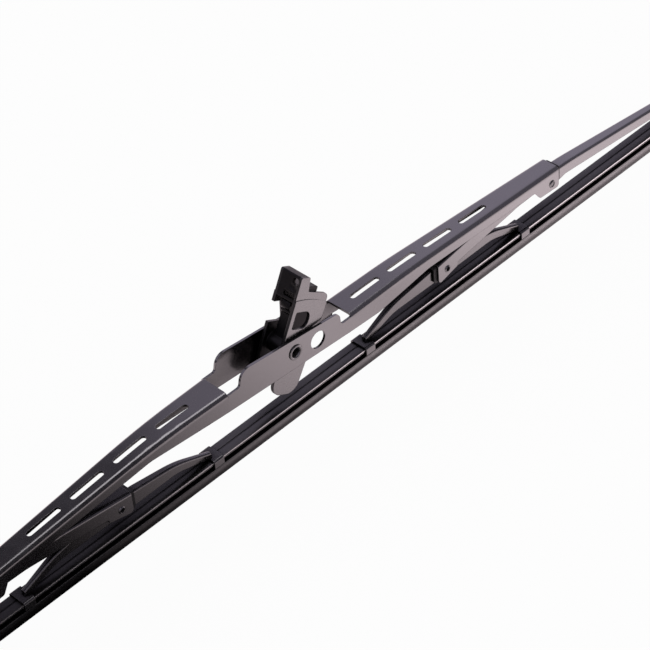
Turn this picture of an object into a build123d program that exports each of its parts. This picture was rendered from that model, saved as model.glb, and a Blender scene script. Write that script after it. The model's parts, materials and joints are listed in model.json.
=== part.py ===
from build123d import *
import math
import os

# Framed wiper blade: a main bridge carries two secondary bridges, each secondary bridge carries a
# yoke at its inner end and a claw at its outer end, and the claws hold one rubber with two spines.
# Origin: middle of the arm pivot. +X along the blade, +Y across it, +Z away from the glass. Millimetres.

# Blade and rubber
blade_length = 600.0
rubber_drop = 29.1          # arm pivot down to the top of the rubber
head_width = 7.6            # rubber head that the claws hold
head_height = 2.5
head_round = 0.12
top_groove_width = 0.8      # shallow groove along the top of the head
top_groove_depth = 0.3
neck_width = 2.2
neck_height = 1.85          # groove that takes the claw tips
shoulder_width = 7.2
shoulder_height = 0.8
wedge_height = 5.25         # tapered flank between the shoulders and the lip
lip_root_width = 1.7
lip_width = 0.9
lip_height = 2.6

# Flat steel spines in the two side slots of the head
spine_width = 2.3
spine_thickness = 0.7
spine_depth = 0.25          # top of the head down to the spine
spine_short = 4.0           # how far each spine end stops short of the rubber's end
spine_gap = 0.05
spine_inset = 0.05          # spine edge inside the side of the head

# Main bridge: an inverted channel folded from sheet, with a window in the middle
bridge_width = 15.0
bridge_end_width = 10.2
bridge_sheet = 1.1
bridge_fold = 2.4           # outer radius of the two long folds
window_left = 36.5          # arm pivot to the ends of the two decks
window_right = 31.8
left_deck = 3.7             # deck heights above the arm pivot
right_deck = -1.7
left_end_deck = -5.8
right_end_deck = -6.8
left_break = 70.0           # where each deck starts to slope down
right_break = 65.0
deck_bend = 320.0           # radius of that bend
arm_depth = 5.6             # height of the side walls along the arms
left_root_depth = 8.6       # and beside the window
right_root_depth = 9.4
left_root = 47.0
right_root = 48.0
root_run = 30.0             # length over which the wall goes from one depth to the other
root_bend = 25.0
trim_start = 34.0           # the far wall is cut back beside the first slots of the right arm
trim_run = 12.0
trim_end = 80.0
trim_depth = 6.5            # deck down to the cut edge
trim_low = 10.3             # and down to the foot of its slope
end_reach = 4.7             # secondary pivot out to the end of the bridge
end_ear_drop = 3.9          # secondary pivot down to the bottom of the end ears
end_ear_length = 12.6
end_ear_slope = 1.0
end_ear_run = 3.4
ear_round = 1.5

# Raised ears of the main bridge beside the window
ear_left = 28.6
ear_right = 25.2
ear_height = 6.4            # at the arm pivot
ear_slope = 0.114
ear_left_round = 5.0
ear_right_round = 3.2
notch_drop = 1.2            # deck down to the notch between ear and deck
notch_round = 1.5
notch_lean = 0.5            # slant of the notch beside the right end of each ear

# Slots in the decks
slot_pitch = 21.8
slot_length = 16.4
slot_width = 2.7
slot_count = 4
left_slot_start = 59.0      # arm pivot to the middle of the first slot
right_slot_start = 47.2

# Round hole through the near wall beside the arm pivot, for an arm with a side pin
side_hole_radius = 4.0
side_hole_x = 12.5
side_hole_z = -2.0

# Arm pivot: a hollow rivet
pin_radius = 2.75
pin_bore = 2.0
pin_head_radius = 3.4
pin_head = 0.6
pin_head_round = 0.36
pin_fit = 0.05              # running clearance on radius, all pivots

# Secondary bridges
lever_pin_x = 158.3
lever_pin_drop = 13.2
lever_sheet = 0.9
lever_fold = 1.5
lever_inner_width = 8.0     # outside, at the yoke pivot
lever_tip_width = 4.0       # outside, at the outer claw
lever_nose = 5.5            # yoke pivot to the inner end
lever_nose_rise = 4.8       # deck above the yoke pivot there
lever_nose_drop = 5.1       # ear below the yoke pivot
lever_crown_back = 27.3     # highest point of the deck, inboard of the lever pivot
lever_crown_rise = 5.2
lever_out_run = 13.7        # deck corner outboard of the lever pivot
lever_out_rise = 3.2
lever_bend = 140.0
lever_tip_run = 30.0        # last deck corner, inboard of the outer claw
lever_tip_rise = 11.0
lever_tip_bend = 70.0
lever_tip_depth = 4.5
lever_tip_back = 2.0        # lower corner behind the upper one
lever_ear_drop = 3.2        # ear below the lever pivot
lever_ear_reach = 5.8
lever_toe = 11.6            # outboard end of the ear's slope
lever_toe_drop = 2.1
lever_toe_round = 3.0
lever_heel = 7.5            # inboard end of the ear
lever_heel_drop = 0.65
lever_waist = 20.3          # where the wall starts to deepen towards the yoke pivot
lever_waist_drop = 0.8
lever_waist_bend = 35.0
nose_heel = 6.6             # outboard end of the yoke pivot's ear
nose_heel_drop = 0.4
nose_corner = 6.3
nose_corner_drop = 2.4
heel_round = 0.75
outer_claw_x = 270.0

# Yokes
yoke_pin_x = 92.0
yoke_pin_drop = 18.5
yoke_inner_reach = 48.2     # yoke pivot to each claw
yoke_outer_reach = 49.3
yoke_sheet = 0.8
yoke_fold = 0.9
yoke_width = 4.4            # outside, at the pivot
yoke_tip_width = 2.3        # outside, at the claws
yoke_rise = 2.3             # deck above the pivot
yoke_drop = 4.6             # wall bottom below the pivot
yoke_level = 8.0            # length of level deck each side of the pivot
yoke_knee_run = 31.0        # knee of each arm, from the pivot
yoke_knee_rise = -0.9
yoke_knee_drop = 5.1
yoke_bend = 45.0
yoke_under_bend = 22.0
yoke_tip_rise = 1.7         # deck above the claw strap where the arm ends

# Claws
claw_length = 5.05
claw_sheet = 0.7
claw_gap = 0.1              # claw to rubber, all round
claw_hook = 0.65            # thickness of the turned-in tips
claw_hook_reach = 2.0       # middle plane to the tips
claw_round = 1.2            # bend between the strap and each tab
claw_foot_round = 0.5       # bend between each tab and its tip
claw_arm_end = 0.8          # arm ends this far inboard of the claw's middle

# Pivot rivets and the plastic liners between the nested channels
lever_rivet_radius = 1.5
yoke_rivet_radius = 1.2
rivet_head_margin = 0.7     # head radius beyond the shank
rivet_head = 0.5
rivet_rim = 0.18            # straight part of the head
liner_wall = 0.55
liner_seat = 0.05           # liner to the channel that holds it
liner_proud = 1.9           # liner beyond the end of that channel
liner_length = 13.0
liner_lip = 0.4             # liner bottom above the ear's bottom

# Hook adapter, drawn lying flat along +X as it sits on an arm, then swung up
adapter_lift = 62.0
adapter_gap = 0.4           # cheek to the wall of the bridge
cheek_thickness = 1.5
adapter_top = 6.5           # arm pivot up to the open side of the adapter
grip_reach = 31.5           # arm pivot to the end of the grip
grip_depth = 5.0
grip_wall = 1.0             # end wall of the grip
grip_corner = 0.7
cover_root = 20.4           # where the grip's cover plate starts
cover_thickness = 1.6
cover_hole_radius = 1.5
cover_hole_back = 2.6       # end of the grip back to the hole
cover_hole_side = 3.1
dimple_radius = 1.9         # shallow dished mark below that hole
dimple_depth = 0.35
dimple_back = 5.1           # end of the grip back to its middle
dimple_side = 2.6
recess_start = 21.7         # opening in the cover plate
recess_length = 2.2
recess_far = 1.4            # middle plane to its far edge
step_root = 25.2            # where the underside of the grip meets the cheek
step_root_rise = 0.2
step_reach = 23.6
step_depth = 12.3
step_round = 2.6
throat_depth = 7.4          # hollow in the lower edge that clears a side pin
throat_start = 1.0
throat_end = 9.5
throat_run = 3.0            # length of its slope on the grip side
throat_round = 2.0
tail_run = 5.0              # and on the tail side
tail_reach = 19.6
tail_depth = 10.2
tail_top = 5.3              # upper edge at the end of the tail
tail_lift = 1.2             # lower edge rises this much towards the end of the tail
tail_round = 5.5
rim_radius = 45.0           # shallow moulded step across the cheeks
rim_reach = 22.0
rim_rise = 1.0
rim_step = 0.3
window_start = 9.3          # opening in each cheek, closed at the front of the near one
window_end = 16.8
window_top = 4.4
window_bottom = -4.4
window_round = 3.2
window_corner = 0.8
far_window_start = 8.3
far_window_end = 17.1
boss_radius = 4.5           # tube that the hook of the arm goes round
catch_start = 24.2          # bar under the grip
catch_length = 2.5
catch_top = 3.0
catch_bottom = -6.0
catch_round = 0.5
tongue_end = 17.2           # sprung tongue with a raised tip
tongue_front = 3.0
tongue_thickness = 1.2
tongue_width = 5.2
tongue_tip = 2.7
tongue_tip_rise = 0.9
tongue_round = 0.4

# Levels and places that follow from the sizes above
rubber_top = -rubber_drop
lever_pin_z = -lever_pin_drop
yoke_pin_z = -yoke_pin_drop
head_half = head_width / 2
strap_under = rubber_top + claw_gap
strap_top = strap_under + claw_sheet
wall_half = bridge_width / 2
bridge_end = lever_pin_x + end_reach
cut_run = 60.0              # reach of the cutting shapes that go right through
far_below = rubber_top - cut_run
overrun = 8.0               # how far cutting shapes run past what they cut
tiny = 0.02
upward = 0.3                # least upward part of the normal of a deck face
lengthwise = 0.7            # least part along X of the direction of a fold edge
least_fold = 0.2            # inner fold radii below this stay sharp


def outline(*corners):
    """Face in the XZ plane from corners (x, z, rounding radius)."""
    points = [(x, z) for x, z, _ in corners]
    radii = [radius for _, _, radius in corners]
    return make_face(Plane.XZ * FilletPolyline(*points, radius=radii, close=True))


def slab(face, half_width):
    """Solid from an XZ face, the same distance to both sides of the middle plane."""
    return extrude(face, amount=half_width, both=True)


def tapered(face, start, start_half, end, end_half):
    """Solid from an XZ face, as wide as a plan that tapers from one X to another."""
    slope = (end_half - start_half) / (end - start)
    step = overrun if end > start else -overrun
    first, last = start - step, end + step
    first_half, last_half = start_half - slope * step, end_half + slope * step
    plan = make_face(Polyline((first, -first_half), (last, -last_half), (last, last_half),
                              (first, first_half), close=True))
    widest = max(first_half, last_half)
    return slab(face, widest) & extrude(plan, amount=far_below * 2, both=True)


def fold_edges(body):
    """Long edges of the upward faces of a channel."""
    tops = [face for face in body.faces() if face.normal_at().Z > upward]
    return ShapeList(edge for face in tops for edge in face.edges() if abs((edge % 0.5).X) > lengthwise)


def channel(wall, deck, plan, sheet, fold):
    """Inverted channel: wall face, deck corners, plan taper (x, half, x, half), sheet and fold radius."""
    start, start_half, end, end_half = plan
    outer = tapered(wall, start, start_half, end, end_half)
    outer = fillet(fold_edges(outer), fold)
    step = overrun if deck[-1][0] > deck[0][0] else -overrun
    (x0, z0, _), (x1, z1, _) = deck[0], deck[1]
    (x8, z8, _), (x9, z9, _) = deck[-2], deck[-1]
    first = (x0 - step, z0 - step * (z1 - z0) / (x1 - x0) - sheet, 0)
    last = (x9 + step, z9 + step * (z9 - z8) / (x9 - x8) - sheet, 0)
    middle = [(x, z - sheet, radius) for x, z, radius in deck[1:-1]]
    hollow = outline(first, *middle, last, (last[0], far_below, 0), (first[0], far_below, 0))
    inner = tapered(hollow, start, start_half - sheet, end, end_half - sheet)
    if fold - sheet > least_fold:
        inner = fillet(fold_edges(inner), fold - sheet)
    return outer - inner


def cross_hole(x, z, radius, half_width=cut_run):
    """Cylinder across the blade."""
    return Pos(x, 0, z) * Rot(90, 0, 0) * Cylinder(radius, 2 * half_width)


def rivet(x, z, radius, channel_half):
    """Solid rivet across the blade, its low domed heads seated on a channel of tapering half width."""
    head = radius + rivet_head_margin
    grip = max(channel_half(x - head), channel_half(x + head))
    rim = grip + rivet_rim
    top = grip + rivet_head
    rise = top - rim
    ball = (head * head + rise * rise) / (2 * rise)
    lean = math.asin(head / ball) / 2
    dome_out, dome_up = ball * math.sin(lean), top - ball + ball * math.cos(lean)
    profile = make_face(
        Polyline((head, -rim), (head, -grip), (radius, -grip), (radius, grip), (head, grip), (head, rim))
        + ThreePointArc((head, rim), (dome_out, dome_up), (0, top))
        + Line((0, top), (0, -top))
        + ThreePointArc((0, -top), (dome_out, -dome_up), (head, -rim))
    )
    return Pos(x, 0, z) * revolve(profile, axis=Axis.Y)


def claw(x):
    """Saddle over the rubber head: strap, side tabs and turned-in tips."""
    inner = head_half + claw_gap
    outer = inner + claw_sheet
    hook_top = rubber_top - head_height - claw_gap
    bottom = hook_top - claw_hook
    section = Polyline((-claw_hook_reach, bottom), (-claw_hook_reach, hook_top), (-inner, hook_top),
                       (-inner, strap_under), (inner, strap_under), (inner, hook_top),
                       (claw_hook_reach, hook_top), (claw_hook_reach, bottom), (outer, bottom),
                       (outer, strap_top), (-outer, strap_top), (-outer, bottom), close=True)
    face = make_face(Plane.YZ * section)
    body = Pos(x, 0, 0) * extrude(face, amount=claw_length / 2, both=True)
    sides = [edge for edge in body.edges().filter_by(Axis.X) if abs(edge.center().Y) > outer - tiny]
    body = fillet([edge for edge in sides if edge.center().Z > strap_under], claw_round)
    feet = [edge for edge in body.edges().filter_by(Axis.X)
            if abs(edge.center().Y) > outer - tiny and edge.center().Z < hook_top]
    return fillet(feet, claw_foot_round)


def deck_height(side, x):
    """Height of the straight, sloping stretch of a main bridge deck at distance x from the arm pivot."""
    level, end, start = (left_deck, left_end_deck, left_break) if side < 0 else (
        right_deck, right_end_deck, right_break)
    return level + (end - level) * (x - start) / (bridge_end - start)


def bridge_half(x):
    """Half the outer width of the main bridge at distance x from the arm pivot."""
    start = (window_left + window_right) / 2
    end_half = bridge_end_width / 2
    return wall_half + (end_half - wall_half) * (x - start) / (bridge_end - start)


def bridge_arm(side):
    """One arm of the main bridge, from the window to its end ears."""
    level, end_deck, start, depth, root, window = (
        (left_deck, left_end_deck, left_break, left_root_depth, left_root, window_left) if side < 0
        else (right_deck, right_end_deck, right_break, right_root_depth, right_root, window_right))
    deck = [(side * window, level, 0), (side * start, level, deck_bend), (side * bridge_end, end_deck, 0)]
    ear_start = bridge_end - end_ear_length
    ear_foot = ear_start - end_ear_run
    shallow = root + root_run
    wall = [*deck,
            (side * bridge_end, lever_pin_z - end_ear_drop, ear_round),
            (side * ear_start, lever_pin_z - end_ear_drop + end_ear_slope, ear_round),
            (side * ear_foot, deck_height(side, ear_foot) - arm_depth, ear_round),
            (side * shallow, deck_height(side, shallow) - arm_depth, root_bend),
            (side * root, level - depth, root_bend),
            (side * window, wall_bottom(side * window), 0)]
    plan = (side * window, wall_half, side * bridge_end, bridge_end_width / 2)
    body = channel(outline(*wall), deck, plan, bridge_sheet, bridge_fold)
    first = left_slot_start if side < 0 else right_slot_start
    for index in range(slot_count):
        place = Pos(side * (first + index * slot_pitch), 0, level)
        body -= place * extrude(SlotOverall(slot_length, slot_width), amount=bridge_width, both=True)
    return body


def wall_bottom(x):
    """Bottom edge of the main bridge's walls beside the window."""
    left = (-left_root, left_deck - left_root_depth)
    right = (right_root, right_deck - right_root_depth)
    return left[1] + (right[1] - left[1]) * (x - left[0]) / (right[0] - left[0])


def bridge_walls():
    """The two flat walls beside the window, with their raised ears, pivot holes and side pin hole."""
    def ear_top(x):
        return ear_height - ear_slope * x

    wall = outline((-window_left, wall_bottom(-window_left), 0),
                   (-window_left, left_deck - notch_drop, 0),
                   (-ear_left - notch_round, left_deck - notch_drop, notch_round),
                   (-ear_left, ear_top(-ear_left), ear_left_round),
                   (ear_right, ear_top(ear_right), ear_right_round),
                   (ear_right + notch_lean, right_deck - notch_drop, notch_round),
                   (window_right, right_deck - notch_drop, 0),
                   (window_right, wall_bottom(window_right), 0))
    body = slab(wall, wall_half) - slab(wall, wall_half - bridge_sheet)
    body -= cross_hole(0, 0, pin_radius + pin_fit)
    body -= Pos(0, -wall_half, 0) * cross_hole(side_hole_x, side_hole_z, side_hole_radius,
                                               bridge_sheet + tiny)
    return body


def far_trim():
    """Cutter for the lower edge of the far wall beside the right arm's first slots."""
    low, high = right_deck - trim_low, right_deck - trim_depth
    face = outline((trim_start, low, 0), (trim_start + trim_run, high, root_bend), (trim_end, high, 0),
                   (trim_end, low - overrun, 0), (trim_start, low - overrun, 0))
    return Pos(0, wall_half, 0) * slab(face, wall_half / 2)


def main_bridge():
    """The whole stamped bridge."""
    body = bridge_walls() + bridge_arm(-1) + bridge_arm(1) - far_trim()
    for side in (-1, 1):
        body -= cross_hole(side * lever_pin_x, lever_pin_z, lever_rivet_radius + pin_fit)
    return body


def lever_half(x):
    """Half the outer width of a secondary bridge at x."""
    slope = (lever_tip_width - lever_inner_width) / (outer_claw_x - yoke_pin_x)
    return (lever_inner_width + slope * (x - yoke_pin_x)) / 2


def secondary_bridge():
    """Right-hand secondary bridge: channel, ears for both pivots and the outer claw."""
    nose = yoke_pin_x - lever_nose
    tip = outer_claw_x - claw_arm_end
    tip_corner = outer_claw_x - lever_tip_run
    deck = [(nose, yoke_pin_z + lever_nose_rise, 0),
            (lever_pin_x - lever_crown_back, lever_pin_z + lever_crown_rise, lever_bend),
            (lever_pin_x + lever_out_run, lever_pin_z + lever_out_rise, lever_bend),
            (tip_corner, strap_top + lever_tip_rise, lever_tip_bend),
            (tip, strap_top + yoke_tip_rise, 0)]
    wall = [*deck,
            (tip, strap_top - claw_sheet / 2, 0),
            (tip - claw_length / 2, strap_top - claw_sheet / 2, 0),
            (tip_corner - lever_tip_back, strap_top + lever_tip_rise - lever_tip_depth, lever_tip_bend),
            (lever_pin_x + lever_toe, lever_pin_z - lever_toe_drop, lever_toe_round),
            (lever_pin_x + lever_ear_reach, lever_pin_z - lever_ear_drop, ear_round),
            (lever_pin_x - lever_ear_reach, lever_pin_z - lever_ear_drop, ear_round),
            (lever_pin_x - lever_heel, lever_pin_z - lever_heel_drop, heel_round),
            (lever_pin_x - lever_waist, lever_pin_z - lever_waist_drop, lever_waist_bend),
            (yoke_pin_x + nose_heel, yoke_pin_z - nose_heel_drop, heel_round),
            (yoke_pin_x + nose_corner, yoke_pin_z - nose_corner_drop, heel_round),
            (nose, yoke_pin_z - lever_nose_drop, ear_round)]
    plan = (yoke_pin_x, lever_half(yoke_pin_x), outer_claw_x, lever_half(outer_claw_x))
    body = channel(outline(*wall), deck, plan, lever_sheet, lever_fold)
    body += claw(outer_claw_x)
    body -= cross_hole(lever_pin_x, lever_pin_z, lever_rivet_radius + pin_fit)
    body -= cross_hole(yoke_pin_x, yoke_pin_z, yoke_rivet_radius + pin_fit)
    return body


def yoke_arm(reach):
    """One arm of a yoke along +X from its pivot, with the claw at its end."""
    tip = reach - claw_arm_end
    deck = [(0, yoke_pin_z + yoke_rise, 0),
            (yoke_level, yoke_pin_z + yoke_rise, yoke_bend),
            (yoke_knee_run, yoke_pin_z + yoke_knee_rise, yoke_bend),
            (tip, strap_top + yoke_tip_rise, 0)]
    wall = [*deck,
            (tip, strap_top - claw_sheet / 2, 0),
            (tip - claw_length / 2, strap_top - claw_sheet / 2, 0),
            (yoke_knee_run, yoke_pin_z - yoke_knee_drop, yoke_under_bend),
            (0, yoke_pin_z - yoke_drop, 0)]
    plan = (0, yoke_width / 2, reach, yoke_tip_width / 2)
    return channel(outline(*wall), deck, plan, yoke_sheet, yoke_fold) + claw(reach)


def yoke(side):
    """One yoke: two tapering arms from one pivot, the same piece the same way round on both sides."""
    body = yoke_arm(yoke_outer_reach) + mirror(yoke_arm(yoke_inner_reach), about=Plane.YZ)
    body -= cross_hole(0, yoke_pin_z, yoke_rivet_radius + pin_fit)
    return Pos(side * yoke_pin_x, 0, 0) * body


def liner(holder, end, inward, deck, bottoms, hole):
    """Folded plastic liner that follows the inside of a channel's end.

    holder: the channel's half width at x, its sheet and fold. end: x of its end, with inward the
    direction into it. deck: height and slope of the deck there. bottoms: lower edge outside and inside.
    """
    holder_half, sheet, fold = holder
    first = end - inward * liner_proud
    last = first + inward * liner_length
    shift = sheet + liner_seat

    def top(x):
        return deck[0] + deck[1] * (x - end) - shift

    wall = outline((first, top(first), 0), (last, top(last), 0), (last, bottoms[1], ear_round),
                   (first, bottoms[0], ear_round))
    outer = tapered(wall, first, holder_half(first) - shift, last, holder_half(last) - shift)
    outer = fillet(fold_edges(outer), fold - sheet)
    before, after = first - overrun * inward, last + overrun * inward
    cut = outline((before, top(before) - liner_wall, 0), (after, top(after) - liner_wall, 0),
                  (after, far_below, 0), (before, far_below, 0))
    shift += liner_wall
    inner = tapered(cut, first, holder_half(first) - shift, last, holder_half(last) - shift)
    return outer - inner - cross_hole(*hole)


def lever_liner(side):
    """Liner in one end of the main bridge."""
    height = deck_height(side, bridge_end)
    slope = height - deck_height(side, bridge_end - 1)
    bottom = lever_pin_z - end_ear_drop + end_ear_slope + liner_lip
    body = liner((bridge_half, bridge_sheet, bridge_fold), bridge_end, -1, (height, slope),
                 (bottom, bottom), (lever_pin_x, lever_pin_z, lever_rivet_radius + pin_fit))
    return body if side > 0 else mirror(body, about=Plane.YZ)


def yoke_liner():
    """Liner in the inner end of the right-hand secondary bridge."""
    nose = yoke_pin_x - lever_nose
    height = yoke_pin_z + lever_nose_rise
    slope = (lever_pin_z + lever_crown_rise - height) / (lever_pin_x - lever_crown_back - nose)
    bottoms = (yoke_pin_z - lever_nose_drop + liner_lip, yoke_pin_z - nose_corner_drop + liner_lip)
    return liner((lever_half, lever_sheet, lever_fold), nose, 1, (height, slope), bottoms,
                 (yoke_pin_x, yoke_pin_z, yoke_rivet_radius + pin_fit))


def pivot_pin():
    """Hollow rivet through both walls and the adapter."""
    length = bridge_width + 2 * pin_head
    shank = Rot(90, 0, 0) * Cylinder(pin_radius, length)
    head = Rot(90, 0, 0) * Cylinder(pin_head_radius, pin_head)
    head_y = wall_half + pin_head / 2
    body = shank + Pos(0, head_y, 0) * head + Pos(0, -head_y, 0) * head
    rims = [edge for edge in body.edges().filter_by(GeomType.CIRCLE)
            if abs(edge.center().Y) > wall_half + pin_head - tiny]
    body = fillet(rims, pin_head_round)
    return body - cross_hole(0, 0, pin_bore)


def adapter_cheek():
    """Side outline of the hook adapter, lying flat."""
    return outline((grip_reach, adapter_top, grip_corner),
                   (grip_reach, adapter_top - grip_depth, grip_corner),
                   (step_root, step_root_rise, grip_corner),
                   (step_reach, -step_depth, step_round),
                   (throat_end + throat_run, -step_depth, throat_round),
                   (throat_end, -throat_depth, throat_round),
                   (throat_start, -throat_depth, throat_round),
                   (throat_start - tail_run, -tail_depth, throat_round),
                   (-tail_reach, -tail_depth + tail_lift, tail_round),
                   (-tail_reach, tail_top, tail_round),
                   (0, adapter_top, tail_round))


def adapter_tongue():
    """Sprung tongue from the tube towards the grip, with its raised tip."""
    back, root = tongue_front - tongue_thickness, boss_radius / 2
    ramp = tongue_end - tongue_tip - tongue_tip_rise
    side = outline((root, back, 0), (tongue_end, back, tongue_round),
                   (tongue_end, tongue_front + tongue_tip_rise, tongue_round),
                   (tongue_end - tongue_tip, tongue_front + tongue_tip_rise, tongue_round),
                   (ramp, tongue_front, 0), (root, tongue_front, 0))
    return slab(side, tongue_width / 2)


def cheek_windows(half):
    """Cutters for the openings in the two cheeks: the far one is open at the front."""
    near = outline((window_start, window_top, window_corner), (window_end, window_top, window_corner),
                   (window_end, window_bottom, window_round),
                   (window_start, window_bottom, window_round))
    front = adapter_top + overrun
    far = outline((far_window_start, front, 0), (far_window_end, front, 0),
                  (far_window_end, window_bottom, window_round),
                  (far_window_start, window_bottom, window_round))
    return Pos(0, -half, 0) * slab(near, cheek_thickness) + Pos(0, half, 0) * slab(far, cheek_thickness)


def rim_cut(half):
    """Cutter that takes the moulded step off the grip end of both cheeks."""
    low, high = -step_depth - overrun, adapter_top + overrun
    face = outline((boss_radius, low, 0), (grip_reach + overrun, low, 0),
                   (grip_reach + overrun, high, 0), (boss_radius, high, 0))
    out = half - rim_step + overrun
    plates = Pos(0, -out, 0) * slab(face, overrun) + Pos(0, out, 0) * slab(face, overrun)
    return plates - cross_hole(rim_reach - rim_radius, rim_rise, rim_radius)


def hook_adapter():
    """Moulded hook adapter: two cheeks joined by the grip, a bar, a tube and its tongue."""
    half = wall_half - bridge_sheet - adapter_gap
    inner_half = half - cheek_thickness
    block = slab(adapter_cheek(), half)
    body = block - slab(adapter_cheek(), inner_half)

    def part_of_block(start, end, low, high):
        place = Pos((start + end) / 2, 0, (low + high) / 2)
        return block & (place * Box(end - start, 2 * half, high - low))

    body += part_of_block(cover_root, grip_reach, adapter_top - cover_thickness, adapter_top)
    body += part_of_block(grip_reach - grip_wall, grip_reach, -step_depth, adapter_top)
    catch = outline((catch_start, catch_top, 0), (catch_start + catch_length, catch_top, 0),
                    (catch_start + catch_length, catch_bottom, catch_round),
                    (catch_start, catch_bottom, catch_round))
    body += slab(catch, inner_half + tiny)
    body += cross_hole(0, 0, boss_radius, inner_half + cheek_thickness / 2)
    body += adapter_tongue()
    body -= cheek_windows(half)
    body -= rim_cut(half)
    body -= Pos(grip_reach - cover_hole_back, -cover_hole_side, adapter_top) * Cylinder(
        cover_hole_radius, 2 * cover_thickness + tiny)
    ball = (dimple_radius ** 2 + dimple_depth ** 2) / (2 * dimple_depth)
    body -= Pos(grip_reach - dimple_back, -dimple_side, adapter_top - dimple_depth + ball) * Sphere(ball)
    recess_width = inner_half + recess_far
    body -= Pos(recess_start + recess_length / 2, recess_far - recess_width / 2, adapter_top) * Box(
        recess_length, recess_width, 2 * cover_thickness + tiny)
    body -= cross_hole(0, 0, pin_radius + pin_fit)
    return Rot(0, -adapter_lift, 0) * body


def wiping_rubber():
    """Extruded rubber: head with side slots, neck, shoulders, tapered flanks and lip."""
    slot_top = rubber_top - spine_depth + spine_gap
    slot_bottom = slot_top - spine_thickness - 2 * spine_gap
    slot_root = head_half - spine_inset - spine_width - spine_gap
    head_bottom = rubber_top - head_height
    shoulder_top = head_bottom - neck_height
    shoulder_bottom = shoulder_top - shoulder_height
    flank_bottom = shoulder_bottom - wedge_height
    lip_bottom = flank_bottom - lip_height
    groove = top_groove_width / 2
    right = [(groove, rubber_top - top_groove_depth), (groove, rubber_top),
             (head_half - head_round, rubber_top), (head_half, rubber_top - head_round),
             (head_half, slot_top), (slot_root, slot_top), (slot_root, slot_bottom),
             (head_half, slot_bottom), (head_half, head_bottom),
             (neck_width / 2, head_bottom), (neck_width / 2, shoulder_top),
             (shoulder_width / 2, shoulder_top), (shoulder_width / 2, shoulder_bottom),
             (lip_root_width / 2, flank_bottom), (lip_width / 2, lip_bottom)]
    left = [(-y, z) for y, z in reversed(right)]
    face = make_face(Plane.YZ * Polyline(*right, *left, close=True))
    return extrude(face, amount=blade_length / 2, both=True)


def spine(side):
    """One flat steel spine, on the far (+1) or near (-1) side."""
    middle = head_half - spine_inset - spine_width / 2
    height = rubber_top - spine_depth - spine_thickness / 2
    return Pos(0, side * middle, height) * Box(blade_length - 2 * spine_short, spine_width, spine_thickness)


def both_hands(name, body):
    """The right-hand piece and its mirror image, with their node names."""
    return {name + "_right": body, name + "_left": mirror(body, about=Plane.YZ)}


def build():
    """Every piece by its node name."""
    pieces = {
        "main_bridge": main_bridge(),
        "pivot_pin": pivot_pin(),
        "hook_adapter": hook_adapter(),
        "wiping_rubber": wiping_rubber(),
        "spine_near": spine(-1),
        "spine_far": spine(1),
        "lever_liner_left": lever_liner(-1),
        "lever_liner_right": lever_liner(1),
        "yoke_left": yoke(-1),
        "yoke_right": yoke(1),
    }
    pieces.update(both_hands("secondary_bridge", secondary_bridge()))
    pieces.update(both_hands("yoke_liner", yoke_liner()))
    pieces.update(both_hands("lever_rivet", rivet(lever_pin_x, lever_pin_z, lever_rivet_radius,
                                                  bridge_half)))
    pieces.update(both_hands("yoke_rivet", rivet(yoke_pin_x, yoke_pin_z, yoke_rivet_radius,
                                                 lever_half)))
    return pieces


os.makedirs("parts", exist_ok=True)
for node, solid in build().items():
    export_step(solid, f"parts/{node}.step")
    print(node, round(solid.volume, 1))
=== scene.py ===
import json
import logging
import math
from contextlib import contextmanager
from dataclasses import dataclass, field
from enum import Enum
from typing import Any, Callable, Iterator, Sequence

import bmesh
import bpy
from mathutils import Matrix, Vector

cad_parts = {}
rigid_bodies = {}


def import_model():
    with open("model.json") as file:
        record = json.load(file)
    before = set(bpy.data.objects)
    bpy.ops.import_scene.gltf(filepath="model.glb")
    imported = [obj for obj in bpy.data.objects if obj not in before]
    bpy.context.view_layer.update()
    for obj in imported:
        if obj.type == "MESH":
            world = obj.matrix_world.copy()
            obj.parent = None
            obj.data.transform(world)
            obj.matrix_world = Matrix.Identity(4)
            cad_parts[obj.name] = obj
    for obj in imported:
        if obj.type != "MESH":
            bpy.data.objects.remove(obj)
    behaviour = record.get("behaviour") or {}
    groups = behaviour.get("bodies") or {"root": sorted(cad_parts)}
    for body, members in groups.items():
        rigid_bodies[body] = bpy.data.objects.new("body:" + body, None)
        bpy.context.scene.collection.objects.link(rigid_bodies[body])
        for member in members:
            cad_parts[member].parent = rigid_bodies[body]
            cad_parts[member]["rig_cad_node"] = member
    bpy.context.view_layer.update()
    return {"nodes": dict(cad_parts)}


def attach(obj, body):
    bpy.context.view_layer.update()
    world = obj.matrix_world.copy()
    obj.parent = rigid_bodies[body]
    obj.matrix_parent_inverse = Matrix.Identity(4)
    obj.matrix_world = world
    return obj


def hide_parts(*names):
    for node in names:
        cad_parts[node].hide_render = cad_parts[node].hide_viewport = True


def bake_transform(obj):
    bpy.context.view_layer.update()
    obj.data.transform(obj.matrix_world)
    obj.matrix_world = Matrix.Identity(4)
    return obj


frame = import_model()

MM = 0.001
UNIT = (0, 1)
CLOUD = (0.3, 0.7)  # where a cloud pattern has most of its values
LOG = logging.getLogger("wiper_blade")

Pair = tuple[float, float]
Point = tuple[float, float, float]
Colour = tuple[float, float, float]
Piece = bpy.types.Object
Material = bpy.types.Material
Socket = bpy.types.NodeSocket


class Hand(Enum):
    """The two halves of the blade, on either side of the arm pivot."""

    LEFT = -1
    RIGHT = 1

    @property
    def word(self) -> str:
        """The half's name as the nodes carry it."""
        return self.name.lower()


class Link(Enum):
    """The bodies of the linkage, from the bridge down to the rubber."""

    BRIDGE = "root"
    LEVER = "lever_{}"
    YOKE = "yoke_body_{}"
    ADAPTER = "adapter"

    def body(self, hand: Hand = Hand.RIGHT) -> str:
        """The body's name on one half of the blade."""
        return self.value.format(hand.word)


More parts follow.
